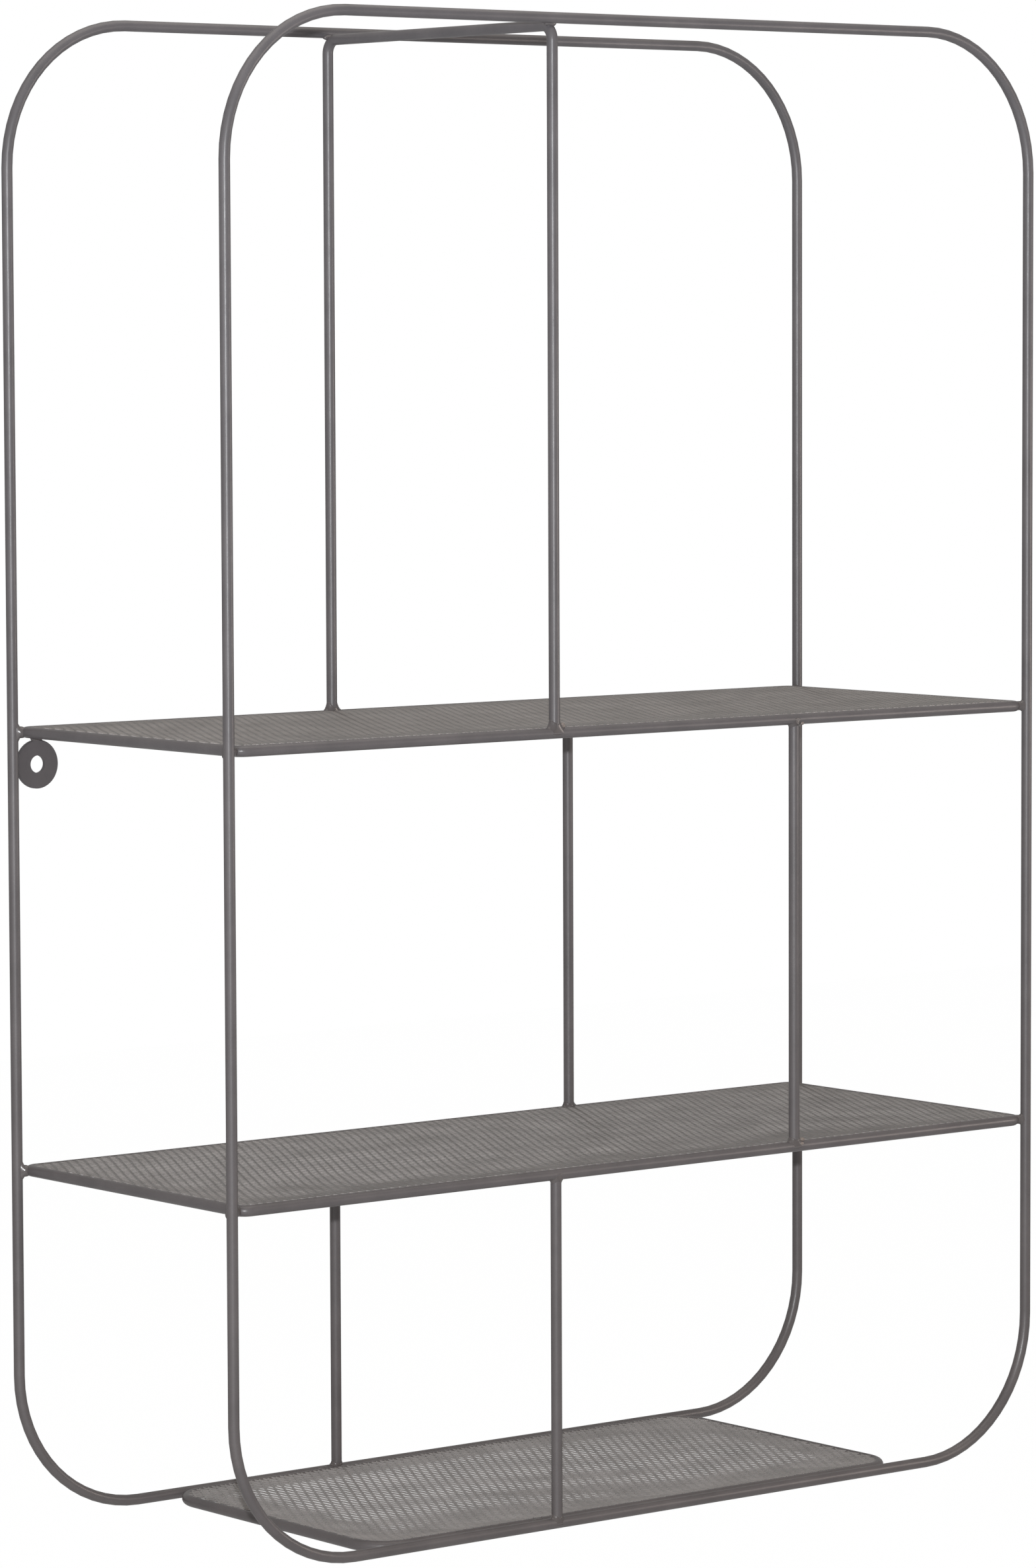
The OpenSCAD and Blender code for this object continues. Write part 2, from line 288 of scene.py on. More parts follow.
def coat_material(name, tones, gloss, flake_light=FLAKE_LIGHT, grain_strength=GRAIN_STRENGTH,
                  painted_light_tones=None):
    """Satin metallic powder coat: mottled tone, fine flakes and an orange peel surface.
    gloss is the range of its roughness. Given tones by facing, it gets painted light and shade
    that way; without them, painted shade by height."""
    material, tree, shader, place = new_material(name)
    mottle = noise_node(tree, place, MOTTLE_SCALE, detail=4, roughness=0.6)
    tone = ramp_node(tree, mottle, list(zip(MOTTLE_STOPS, tones)))
    flakes = tree.nodes.new("ShaderNodeTexVoronoi")
    flakes.inputs["Scale"].default_value = FLAKE_SCALE
    tree.links.new(place, flakes.inputs["Vector"])
    flake_tones = (flake_light, FLAKE_EVEN, FLAKE_DARK)
    sparkle = ramp_node(tree, flakes.outputs["Distance"], list(zip(FLAKE_STOPS, flake_tones)))
    colour = mix_node(tree, "OVERLAY", FLAKE_SHARE, tone, sparkle)
    if painted_light_tones:
        colour = paint_light_by_facing(tree, colour, *painted_light_tones)
    else:
        colour = paint_shade_by_height(tree, colour, place)
    tree.links.new(colour, shader.inputs["Base Color"])
    shader.inputs["Metallic"].default_value = COAT_METALLIC
    shader.inputs["IOR"].default_value = COAT_IOR
    wear = noise_node(tree, place, GLOSS_SCALE, detail=3)
    tree.links.new(range_node(tree, wear, *gloss), shader.inputs["Roughness"])
    grain = noise_node(tree, place, GRAIN_SCALE)
    waves = noise_node(tree, place, PEEL_SCALE)
    peel = bump_node(tree, waves, PEEL_STRENGTH, PEEL_HEIGHT)
    surface = bump_node(tree, grain, grain_strength, GRAIN_HEIGHT, peel)
    tree.links.new(surface, shader.inputs["Normal"])
    return material


def rod_material():
    return coat_material("rod_coat_taupe", ROD_TONES, gloss=(0.33, 0.39))


def shaded_disc_material():
    """The same coat on the eyelet's cut plate, in darker tones: painted shade for the shadow it
    sits in under the shelf's rod.
    """
    return coat_material("disc_coat_painted_shade", SHADED_DISC_TONES, gloss=(0.36, 0.42))


def net_material(name, tone, turned, facing):
    """The coat of a sheet, lighter than the rods' coat. tone is a factor; the tray's higher one is
    painted light.
    """
    tones = [[share * tone for share in colour] for colour in NET_TONES]
    return coat_material(name, tones, gloss=(0.30, 0.44), painted_light_tones=(turned, facing))


def weld_material():
    """The coat on weld metal: glossier, with stronger grain."""
    return coat_material("weld_coat_taupe", WELD_TONES, gloss=(0.18, 0.28),
                         flake_light=(0.60, 0.59, 0.58), grain_strength=0.3)


def spatter_and_highlight_material():
    """Spatter that the coat covers thinly, paler with a rosy tinge: partly its own colour, partly
    a painted highlight of the rosy light from the right.
    """
    return coat_material("weld_spatter_and_painted_highlight", SPATTER_AND_HIGHLIGHT_TONES, gloss=(0.3, 0.42),
                         flake_light=(0.6, 0.59, 0.57), grain_strength=0.4)


def dress_node(name, material):
    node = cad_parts[name]
    if not node.material_slots:
        node.data.materials.append(material)
    for slot in node.material_slots:
        slot.material = material


# Mesh building

def new_piece(name, points, faces, materials, smooth, face_materials=None):
    """An object from its points and faces. face_materials has each face's place in the
    list of materials, where there is more than one."""
    mesh = bpy.data.meshes.new(name)
    mesh.from_pydata(points, [], faces)
    mesh.update()
    mesh.polygons.foreach_set("use_smooth", [smooth] * len(mesh.polygons))
    for material in materials:
        mesh.materials.append(material)
    if face_materials is not None:
        mesh.polygons.foreach_set("material_index", face_materials)
    piece = bpy.data.objects.new(name, mesh)
    bpy.context.scene.collection.objects.link(piece)
    return piece


def tube_faces(rings, sides, first):
    """Faces round a stack of rings, without its ends, from the index of the first point."""
    row = np.arange(rings - 1)[:, None] * sides + first
    here = np.arange(sides)[None, :]
    following = (here + 1) % sides
    quads = [row + following, row + here, row + sides + here, row + sides + following]
    return np.stack(quads, -1).reshape(-1, 4)


# Expanded mesh

STRAND_W = 0.85 * MM
STRAND_T = 0.7 * MM
STRAND_TILT = math.radians(20)
# Length of a knuckle along Y, and how far a strand reaches past the line where it meets its
# neighbour there
KNUCKLE = 1.1 * MM
KNUCKLE_LAP = 0.03 * MM
# How far a sheet reaches past the middle of the rods, or stops short of it if negative, how
# far it lies to the front left, and the room that it leaves round a post
NET_REACH = -0.5 * MM
NET_SHIFT = 0.4 * MM
POST_GAP = 0.2 * MM
# Widths of the slopes at the front and left rods, and of the climbs to the rear and right,
# each with the power of its curve
DISH_RAMP = 45 * MM
RAMP_POWER = 2
DISH_CLIMB = 150 * MM
CLIMB_POWER = 1.5
DENT_WIDTH = 60 * MM
# The waves of a sheet's unevenness along X and Y, and the slower ones that bend them, all in
# radians to the metre, and how far these bend the first ones, in radians
WAVES_X = 43
WAVES_Y = 118
BENDS_X = 27
BENDS_Y = 31
BEND_OF_X = 1.5
BEND_OF_Y = 0.8
# Height of a sheet's middle above the middle of the rods that carry it, how far it is tucked
# down at the rear and right rods, and the width over which that fades
NET_LIFT = ROD_R
TUCK_DROP = 0.7 * MM
TUCK_WIDTH = 25 * MM
# Near the rods a ribbon has a row of points at each step. No row is nearer to its ends than
# the gap.
EDGE_ZONE = 7 * MM
EDGE_STEP = 1.2 * MM
END_GAP = 0.2 * MM
# Step in which a ribbon's ends are looked for, and the shortest stretch that is kept
FINE_STEP = 0.05 * MM
SHORTEST = 0.4 * MM


def settle(t, power):
    """Curve from 0 to 1 that starts steep and ends level."""
    return 1 - (1 - np.clip(t, 0, 1)) ** power


def unevenness(x, y):
    """Irregular waves between -1 and 1."""
    along_x = np.sin(x * WAVES_X + BEND_OF_X * np.sin(y * BENDS_Y))
    along_y = np.sin(y * WAVES_Y + BEND_OF_Y * np.sin(x * BENDS_X))
    return along_x * along_y


class Net:
    """A sheet of expanded mesh. Its ribbons run along Y and swing from side to side, each
    joined to its neighbours in turn at short knuckles. step is the distance between ribbons,
    length that between the knuckles on one side of a ribbon, dish the sheet's depth and ripple
    its unevenness. posts are the middles of the rods that it is notched for, and dents have a
    place and a depth each."""

    def __init__(self, ring, step, length, dish, ripple, posts=(), dents=()):
        self.ring = ring
        self.step = step
        self.length = length
        self.dish = dish
        self.ripple = ripple
        self.posts = posts
        self.dents = dents
        self.swing = step / 2 - STRAND_W / 2 * math.cos(STRAND_TILT)

    def place(self, ribbon, y):
        """Middle of a ribbon at each y, and its swing from -1 to 1."""
        joined = (ribbon % 2) * self.length / 2
        turns = (y - joined) / self.length
        from_knuckle = np.abs(turns - np.round(turns)) * self.length
        free = self.length / 2 - KNUCKLE
        swing = 1 - 2 * np.clip((from_knuckle - KNUCKLE / 2) / free, 0, 1)
        return ribbon * self.step + swing * self.swing, swing

    def sunk(self, x, y):
        """How far the sheet is pressed down, from 0 to 1: steeply at the front and left
        rods, with a slow climb to the rear and right ones."""
        front = settle((self.ring.half_y + y) / DISH_RAMP, RAMP_POWER)
        left = settle((self.ring.half_x + x) / DISH_RAMP, RAMP_POWER)
        rear = settle((self.ring.half_y - y) / DISH_CLIMB, CLIMB_POWER)
        right = settle((self.ring.half_x - x) / DISH_CLIMB, CLIMB_POWER)
        return front * left * rear * right

    def height(self, x, y):
        """Height of the sheet's middle: it lies on the rods, and is dished and a little
        uneven inside them."""
        drop = self.dish + self.ripple * unevenness(x, y)
        for dent_x, dent_y, depth in self.dents:
            far = (x - dent_x) ** 2 + (y - dent_y) ** 2
            drop = drop + depth * np.exp(-far / DENT_WIDTH ** 2)
        edge = np.minimum(self.ring.half_x - x, self.ring.half_y - y)
        tuck = TUCK_DROP * np.clip(1 - edge / TUCK_WIDTH, 0, 1)
        return self.ring.z + NET_LIFT - self.sunk(x, y) * drop - tuck

    def kept(self, x, y):
        """Whether the sheet has metal at each point: inside its rim and clear of the posts."""
        inside = self.ring.outside(x + NET_SHIFT, y + NET_SHIFT) < NET_REACH
        for post_x, post_y in self.posts:
            inside &= np.hypot(x - post_x, y - post_y) > ROD_R + POST_GAP
        return inside

    def stretches(self, ribbon):
        """The lowest and the highest y of each unbroken stretch of a ribbon."""
        reach = self.ring.half_y
        fine = np.arange(-reach - FINE_STEP, reach + FINE_STEP, FINE_STEP)
        x, _ = self.place(ribbon, fine)
        inside = np.concatenate([[False], self.kept(x, fine), [False]])
        starts = fine[np.flatnonzero(inside[1:] & ~inside[:-1])]
        ends = fine[np.flatnonzero(~inside[1:] & inside[:-1]) - 1]
        long_enough = ends - starts >= SHORTEST
        return zip(starts[long_enough], ends[long_enough])

    def inner_rows(self, ribbon):
        """The y values where a ribbon has points between its ends: the ends of each knuckle,
        and the close rows near the rods."""
        reach = self.ring.half_y
        last = math.ceil(2 * reach / self.length)
        turns = np.arange(-last, last + 1)
        bends = np.concatenate([turns - KNUCKLE / self.length, turns + KNUCKLE / self.length])
        bends = bends * self.length / 2
        edge_rows = np.arange(-reach, reach, EDGE_STEP)
        edge_x, _ = self.place(ribbon, edge_rows)
        edge_rows = edge_rows[self.ring.outside(edge_x, edge_rows) > -EDGE_ZONE]
        return np.unique(np.concatenate([bends, edge_rows]))

    def rows(self, ribbon):
        """The y values of each unbroken stretch of a ribbon, its two ends among them."""
        inner = self.inner_rows(ribbon)
        for start, end in self.stretches(ribbon):
            clear = inner[(inner > start + END_GAP) & (inner < end - END_GAP)]
            yield np.concatenate([[start], clear, [end]])

    def build(self):
        """Points and faces of the sheet: a bar of four sides for each stretch of a ribbon."""
        cosine, sine = math.cos(STRAND_TILT), math.sin(STRAND_TILT)
        across = np.array([cosine, sine]) * (STRAND_W / 2 + KNUCKLE_LAP)
        through = np.array([-sine, cosine]) * STRAND_T / 2
        section = [across + through, through - across, -across - through, across - through]
        lift = STRAND_W / 2 * sine
        points, faces, total = [], [], 0
        last = int(self.ring.half_x / self.step) + 1
        for ribbon in range(-last, last + 1):
            for y in self.rows(ribbon):
                x, swing = self.place(ribbon, y)
                z = self.height(x, y) - swing * lift
                bar = np.stack([np.stack([x + dx, y, z + dz], -1) for dx, dz in section], 1)
                points.append(bar.reshape(-1, 3))
                faces.append(tube_faces(len(y), 4, total))
                end = total + 4 * (len(y) - 1)
                ends = [[total, total + 1, total + 2, total + 3], [end + 3, end + 2, end + 1, end]]
                faces.append(np.array(ends))
                total += 4 * len(y)
        return np.concatenate(points), np.concatenate(faces)


def make_net(name, node, net, material):
    points, faces = net.build()
    piece = new_piece(name, points.tolist(), faces.tolist(), [material], smooth=False)
    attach(piece, BODY)
    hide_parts(node)


# Weld metal

# Which of a weld piece's materials a lump has
COAT = 0
PALE = 1
# Grains to the metre of the welds' lumpiness, and how far a seed of 1 shifts its pattern
LUMP_SCALE = 330
SEED_SHIFT = (7.3, 3.1, 5.7)
# How deep the welds lie inside the planes of the loops' rods at the least
FLUSH_DEPTH = 0.02 * MM


class Beads:
    """Closed lumps of weld metal, gathered into one piece."""

    def __init__(self):
        self.points = []
        self.faces = []
        self.slots = []

    def stack(self, rings, slot=COAT):
        """A closed lump from rings of points, each seen counterclockwise from the last one."""
        first = len(self.points)
        sides = len(rings[0])
        for ring in rings:
            self.points.extend(flush(point) for point in ring)
        made = [tuple(reversed(quad)) for quad in tube_faces(len(rings), sides, first).tolist()]
        made.append(tuple(reversed(range(first, first + sides))))
        last = first + sides * (len(rings) - 1)
        made.append(tuple(range(last, last + sides)))
        self.faces.extend(made)
        self.slots.extend([slot] * len(made))

    def make_piece(self, name, node, materials):
        piece = new_piece(name, self.points, self.faces, materials, True, self.slots)
        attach(piece, BODY)
        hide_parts(node)


def flush(point):
    """Weld metal is dressed level with the planes of the loops' rods."""
    limit = LOOP_Y + ROD_R - FLUSH_DEPTH
    return (point[0], min(max(point[1], -limit), limit), point[2])


def lumpy(point, amount, seed):
    """A smooth factor near 1 that varies over about 3 mm."""
    where = Vector(point) * LUMP_SCALE + Vector([seed * shift for shift in SEED_SHIFT])
    return 1 + amount * noise.noise(where)


def lump(beads, middle, size, seed, slot=COAT, rough=0.3, sides=20, steps=10):
    """A rounded lump with three half sizes."""
    rings = []
    for step in range(1, steps):
        polar = math.pi * step / steps
        ring = []
        for side in range(sides):
            angle = 2 * math.pi * side / sides
            unit = Vector((-math.cos(polar), math.sin(polar) * math.cos(angle),
                           math.sin(polar) * math.sin(angle)))
            offset = Vector((unit.x * size[0], unit.y * size[1], unit.z * size[2]))
            ring.append(middle + offset * lumpy(middle + offset, rough, seed))
        rings.append(ring)
    beads.stack(rings, slot)


# Corner welds

# Half width of a neck at both ends, its half height at the ring, and how lumpy it is
NECK_WIDTH = ROD_R * 0.85
NECK_HEIGHT = ROD_R * 0.9
NECK_ROUGH = 0.06
# How far outside the middle line of a ring a neck starts, and how far short of that of the
# upright it ends
NECK_START = 1.2 * MM
NECK_END = 1.4 * MM
# Half thickness of a neck in its middle, and how far its metal reaches up and down the
# upright, with how much that varies. Those at the rear left hold more metal.
WAIST = 2.8 * MM
FLARE = 5.0 * MM
BULKY_WAIST = 3.4 * MM
BULKY_FLARE = 8.5 * MM
FLARE_SPREAD = 1.2 * MM
# How far a seed of 1 shifts the patterns from which the reach up and down is read
RISE_SHIFT = 1.7
DROP_SHIFT = 2.3
# Weld metal that fills the notch between a left front upright and the ring's side: place
# and half sizes
CORNER_WEB = Vector((1.8, 4.2, -1.6)) * MM
CORNER_WEB_SIZE = (2.5 * MM, 3.6 * MM, 3.4 * MM)


def neck(beads, start, end, waist, rise, drop, seed, sides=24, steps=16):
    """Weld metal drawn out between two rods: it flares at both ends, and climbs and falls
    along the rod at its end by rise and drop."""
    axis = (end - start).normalized()
    across = axis.cross(Vector((0, 0, 1))).normalized()
    up = across.cross(axis)
    rings = []
    for step in range(steps + 1):
        t = step / steps
        flare = (1 - 2 * t) ** 2 if t < 0.5 else 2 * t - 1
        middle = start.lerp(end, t)
        half_w = waist + (NECK_WIDTH - waist) * flare
        high = waist + ((rise if t > 0.5 else NECK_HEIGHT) - waist) * flare
        low = waist + ((drop if t > 0.5 else NECK_HEIGHT) - waist) * flare
        ring = []
        for side in range(sides):
            angle = 2 * math.pi * side / sides
            c, s = math.cos(angle), math.sin(angle)
            offset = across * (half_w * c) + up * ((high if s > 0 else low) * s)
            ring.append(middle + offset * lumpy(middle + offset, NECK_ROUGH, seed))
        rings.append(ring)
    beads.stack(rings)


def corner_neck(beads, ring, side_x, side_y, seed):
    """The weld that joins a ring's rounded corner to the upright outside it."""
    turn_x = side_x * (ring.half_x - ring.corner)
    turn_y = side_y * (ring.half_y - ring.corner)
    turn = Vector((turn_x, turn_y, ring.z))
    upright = Vector((side_x * LOOP_X, side_y * LOOP_Y, ring.z))
    way = (upright - turn).normalized()
    start = turn + way * (ring.corner + NECK_START)
    end = upright - way * NECK_END
    bulky = side_x == LEFT and side_y == REAR
    waist = BULKY_WAIST if bulky else WAIST
    flare = BULKY_FLARE if bulky else FLARE
    rise = flare + FLARE_SPREAD * noise.noise(Vector((seed * RISE_SHIFT, 0, 0)))
    drop = flare + FLARE_SPREAD * noise.noise(Vector((0, seed * DROP_SHIFT, 0)))
    neck(beads, start, end, waist, rise, drop, seed)
    if side_x == LEFT and side_y == FRONT:
        lump(beads, upright + CORNER_WEB, CORNER_WEB_SIZE, seed, rough=0.05)


def corner_beads(coat):
    beads = Beads()
    corners = itertools.product((MIDDLE, UPPER), (LEFT, RIGHT), (FRONT, REAR))
    for seed, (ring, side_x, side_y) in enumerate(corners, 1):
        corner_neck(beads, ring, side_x, side_y, seed)
    beads.make_piece("corner_weld_necks", "corner_welds", [coat])


# Welds round the ends of posts

# A collar's least width, how lumpy it is, and the radius round the post at which its lumps
# are read from the pattern
COLLAR_WIDTH = 0.12 * MM
COLLAR_ROUGH = 0.22
LUMPS_R = 4 * MM
# The radius of its ends, which are closed inside the rods, and how far its skin is sunk where
# it ends in a rod
CORE_R = 0.5 * MM
SKIN_SUNK = 0.2 * MM
# How far its hollow skin starts outside the post and under the rim
SKIN_CLEAR = 0.02 * MM
RIM_EDGE = 0.1 * MM
# How much lower a collar's upper and lower rims lie at the front and rear of the post
TOP_DIP = 0.9 * MM
LOW_DIP = 0.8 * MM
# The share of its full height that a collar has at the front and rear, and the shares of its
# width and height at the point that its hollow skin bends towards
SIDE_CLIMB = 0.55
KNEE = 0.25

# X and Z of a post's end, the way the post goes from there, the weld's widths to the left and
# to the right, its height and its seed
POST_WELDS = (
    (BOTTOM_POST_X, RAIL_Z, UP, (1.9 * MM, 1.5 * MM), 2.2 * MM, 11),
    (BOTTOM_POST_X, MIDDLE.z, DOWN, (1.4 * MM, 1.7 * MM), 2.0 * MM, 14),
    (MIDDLE_POST_X, MIDDLE.z, UP, (2.0 * MM, 3.0 * MM), 3.2 * MM, 17),
    (MIDDLE_POST_X, UPPER.z, DOWN, (1.5 * MM, 1.9 * MM), 2.0 * MM, 20),
)
# Spatter beside welds: offsets from the middle of the rod and a size, in millimetres, and
# the shares of that size along X, Y and Z
POST_FOOT_DROPS = ((4.8, -1.0, 4.0, 1.4), (6.3, -0.6, 3.6, 1.2), (4.0, -2.4, 1.7, 1.1))
POST_DROP_SHAPE = (1.3, 1, 0.8)
DIVIDER_FOOT_DROPS = ((5.4, -0.8, 3.9, 1.5), (4.6, -1.4, 5.0, 1.1))
DIVIDER_DROP_SHAPE = (1.2, 1, 1)
# One more drop under the upper shelf: place and half sizes
POST_HEAD_DROP = Vector((4.4, -2.2, -2.4)) * MM
POST_HEAD_DROP_SIZE = (1.3 * MM, 0.9 * MM, 1.1 * MM)
# The welds at the divider's feet, and the half sizes of those under the top rails
DIVIDER_SPREAD = (2.7 * MM, 3.5 * MM)
DIVIDER_CLIMB = 5.0 * MM
GROOVE_WELD_SIZE = (4.2 * MM, 2.3 * MM, 2.0 * MM)


def rod_skin(off):
    """Height of a rod's skin over its middle, at a distance off to its side."""
    return math.sqrt(max(ROD_R ** 2 - off ** 2, 0))


def collar_profile(c, s, spread, climb, jitter, steps):
    """Radii and heights of a collar in the direction of cosine c and sine s: from inside the
    post, down its hollow skin to the rod, and to inside the rod."""
    width = (spread[1] if c > 0 else spread[0]) * abs(c) ** 1.5 + COLLAR_WIDTH
    width *= jitter
    top = ROD_R + climb * jitter * (SIDE_CLIMB + (1 - SIDE_CLIMB) * abs(c)) - TOP_DIP * s * s
    low = rod_skin((ROD_R + width) * s) - SKIN_SUNK - LOW_DIP * s ** 4
    knee_radius = ROD_R + COLLAR_WIDTH + KNEE * width
    knee_height = rod_skin(ROD_R * s) + KNEE * climb * abs(c)
    profile = [(CORE_R, top), (ROD_R - SKIN_SUNK, top)]
    for step in range(steps):
        t = step / (steps - 1)
        a, b, d = (1 - t) ** 2, 2 * t * (1 - t), t * t
        radius = a * (ROD_R + SKIN_CLEAR) + b * knee_radius + d * (ROD_R + width)
        height = a * (top - RIM_EDGE) + b * knee_height + d * low
        profile.append((radius, height))
    profile.append((CORE_R, -CORE_R))
    return profile


def collar(beads, x, y, z, way, spread, climb, seed, sides=36, steps=9):
    """Weld metal in the corner round the end of a post that goes up or down from a rod along
    X. spread is its width to the left and to the right."""
    rings = [[] for _ in range(steps + 3)]
    for side in range(sides):
        angle = 2 * math.pi * side / sides * way
        c, s = math.cos(angle), math.sin(angle)
        jitter = lumpy((x + c * LUMPS_R, y + s * LUMPS_R, z), COLLAR_ROUGH, seed)
        profile = collar_profile(c, s, spread, climb, jitter, steps)
        for ring, (radius, height) in zip(rings, reversed(profile)):
            ring.append(Vector((x + radius * c, y + radius * s, z + way * height)))
    beads.stack(rings)


def spatter(beads, foot, drops, shape):
    """Small paler lumps beside a weld, each seeded by its own offset along X."""
    for x, y, z, size in drops:
        half_sizes = [size * share * MM for share in shape]
        lump(beads, foot + Vector((x, y, z)) * MM, half_sizes, seed=x, slot=PALE)


def post_beads(coat, pale):
    beads = Beads()
    for side in (FRONT, REAR):
        for x, z, way, spread, climb, seed in POST_WELDS:
            collar(beads, x, side * LOOP_Y, z, way, spread, climb, seed + side)
    foot = Vector((MIDDLE_POST_X, -LOOP_Y, MIDDLE.z))
    spatter(beads, foot, POST_FOOT_DROPS, POST_DROP_SHAPE)
    head = Vector((MIDDLE_POST_X, -LOOP_Y, UPPER.z))
    lump(beads, head + POST_HEAD_DROP, POST_HEAD_DROP_SIZE, seed=3, slot=PALE)
    beads.make_piece("post_weld_beads", "post_welds", [coat, pale])


def divider_beads(coat, pale):
    """Welds at the divider's feet, and in the grooves where it passes under the top rails."""
    beads = Beads()
    for side in (FRONT, REAR):
        y = side * LOOP_Y
        collar(beads, DIVIDER_X, y, UPPER.z, UP, DIVIDER_SPREAD, DIVIDER_CLIMB, seed=31 + side)
        bend_y = side * (LOOP_Y - DIVIDER_BEND)
        bend = Vector((DIVIDER_X, bend_y, DIVIDER_TOP_Z - DIVIDER_BEND))
        rail = Vector((DIVIDER_X, y, TOP_RAIL_Z))
        way = (rail - bend).normalized()
        middle = bend + way * (DIVIDER_BEND + (rail - bend).length) / 2
        lump(beads, middle, GROOVE_WELD_SIZE, seed=35 + side)
    foot = Vector((DIVIDER_X, -LOOP_Y, UPPER.z))
    spatter(beads, foot, DIVIDER_FOOT_DROPS, DIVIDER_DROP_SHAPE)
    beads.make_piece("divider_weld_beads", "divider_welds", [coat, pale])


# Tacks of the tray and the eyelet

# How far the tray's lower tacks lie from its bends, and under the rails' middle, and how far
# the upper ones lie to the left of the bottom posts and over the rails' middle
LOWER_TACK_INSET = 15 * MM
LOWER_TACK_DROP = 1.7 * MM
LOWER_TACK_SIZE = (4.8 * MM, 1.7 * MM, 1.3 * MM)
UPPER_TACK_SHIFT = 12 * MM
UPPER_TACK_RISE = 1.9 * MM
UPPER_TACK_SIZE = (4.6 * MM, 1.7 * MM, 1.4 * MM)
# How far the eyelet's tacks lie in front of its rear face, how far the one beside it lies to
# its left and over its middle, and how far the one above it lies over its top
EYELET_TACK_DEPTH = 1.5 * MM
SIDE_TACK_OUT = 0.1 * MM
SIDE_TACK_RISE = 1 * MM
SIDE_TACK_SIZE = (1.3 * MM, 1.3 * MM, 5.2 * MM)
TOP_TACK_RISE = 0.9 * MM
TOP_TACK_SIZE = (4.4 * MM, 1.3 * MM, 2.2 * MM)


def tray_beads(coat):
    """Tacks in the grooves between the tray's ring and the bottom rails."""
    beads = Beads()
    groove_y = (LOOP_Y + TRAY.half_y) / 2
    end_x = TRAY.half_x - TRAY.corner - LOWER_TACK_INSET
    for side in (FRONT, REAR):
        for end in (LEFT, RIGHT):
            lower = Vector((end * end_x, side * groove_y, RAIL_Z - LOWER_TACK_DROP))
            lump(beads, lower, LOWER_TACK_SIZE, seed=41 + side + 3 * end)
        upper_x = BOTTOM_POST_X - UPPER_TACK_SHIFT
        upper = Vector((upper_x, side * groove_y, RAIL_Z + UPPER_TACK_RISE))
        lump(beads, upper, UPPER_TACK_SIZE, seed=47 + side)
    beads.make_piece("tray_weld_tacks", "tray_welds", [coat])


def eyelet_beads(coat):
    """Tacks that hold the eyelet to the upright at its left and to the rod above it."""
    beads = Beads()
    low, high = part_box("wall_eyelet")
    middle = (low + high) / 2
    y = high.y - EYELET_TACK_DEPTH
    beside = Vector((low.x - SIDE_TACK_OUT, y, middle.z + SIDE_TACK_RISE))
    lump(beads, beside, SIDE_TACK_SIZE, seed=51)
    above = Vector((middle.x, y, high.z + TOP_TACK_RISE))
    lump(beads, above, TOP_TACK_SIZE, seed=52, rough=0.03)
    beads.make_piece("eyelet_weld_tacks", "eyelet_welds", [coat])


# Camera, with its angles in degrees, and its lens and sensor in millimetres

CAMERA_AZIMUTH = -38.611
CAMERA_ELEVATION = 4.395
CAMERA_ROLL = 0.217
CAMERA_DISTANCE = 3.3296
CAMERA_AIM = Vector((-0.0965, -LOOP_Y, 0.4277))
CAMERA_LENS = 135.83
CAMERA_SENSOR = 36


def camera_back():
    """Direction from the shelf towards the camera."""
    azimuth, elevation = math.radians(CAMERA_AZIMUTH), math.radians(CAMERA_ELEVATION)
    return Vector((math.sin(azimuth) * math.cos(elevation),
                   -math.cos(azimuth) * math.cos(elevation), math.sin(elevation)))


def make_camera():
    back = camera_back()
    right = Vector((0, 0, 1)).cross(back).normalized()
    turn = Matrix((right, back.cross(right), back)).transposed()
    roll = Matrix.Rotation(-math.radians(CAMERA_ROLL), 3, "Z")
    place = Matrix.Translation(CAMERA_AIM + back * CAMERA_DISTANCE)
    data = bpy.data.cameras.new("photo_camera")
    data.sensor_width = CAMERA_SENSOR
    data.lens = CAMERA_LENS
    camera = bpy.data.objects.new("photo_camera", data)
    camera.matrix_world = place @ (turn @ roll).to_4x4()
    bpy.context.scene.collection.objects.link(camera)
    bpy.context.scene.camera = camera


# Stage

WHITE = (1, 1, 1)
WARM = (1, 0.945, 0.87)
ROSY = (1, 0.88, 0.8)
COOL = (0.945, 0.98, 1)

FLOOR_Z = -0.9
FLOOR_HALF = 8.0
FLOOR_ROUGHNESS = 0.9
FLOOR_MOTTLE_SCALE = 2
FLOOR_DARK = (0.58, 0.58, 0.58)
FLOOR_LIGHT = (0.62, 0.62, 0.62)
# How bright the floor glows where it is seen, and how much of its look that glow is
FLOOR_GLOW = 1.12
FLOOR_GLOW_SHARE = 0.88
AMBIENT = 0.09

# What the flash gives of the light, its radius and its height above the camera
FLASH_SHARE = 0.58
FLASH_R = 0.02
FLASH_RISE = 0.11
# What the other lamps look at
LAMP_AIM = Vector((0, 0, 0.43))


def make_floor():
    """A white floor under the hung shelf. It keeps a soft shadow."""
    half = FLOOR_HALF
    corners = [(-half, -half, FLOOR_Z), (half, -half, FLOOR_Z),
               (half, half, FLOOR_Z), (-half, half, FLOOR_Z)]
    material, tree, shader, place = new_material("floor_white")
    mottle = noise_node(tree, place, FLOOR_MOTTLE_SCALE)
    tone = ramp_node(tree, mottle, [(NOISE_LOW, FLOOR_DARK), (NOISE_HIGH, FLOOR_LIGHT)])
    tree.links.new(tone, shader.inputs["Base Color"])
    shader.inputs["Roughness"].default_value = FLOOR_ROUGHNESS
    glow = tree.nodes.new("ShaderNodeEmission")
    glow.inputs["Color"].default_value = (*WHITE, 1)
    glow.inputs["Strength"].default_value = FLOOR_GLOW
    share = math_node(tree, "MULTIPLY", seen_directly(tree), FLOOR_GLOW_SHARE)
    mixed_surface(tree, share, shader, glow, "Material Output")
    new_piece("floor", corners, [(0, 1, 2, 3)], [material], smooth=False)


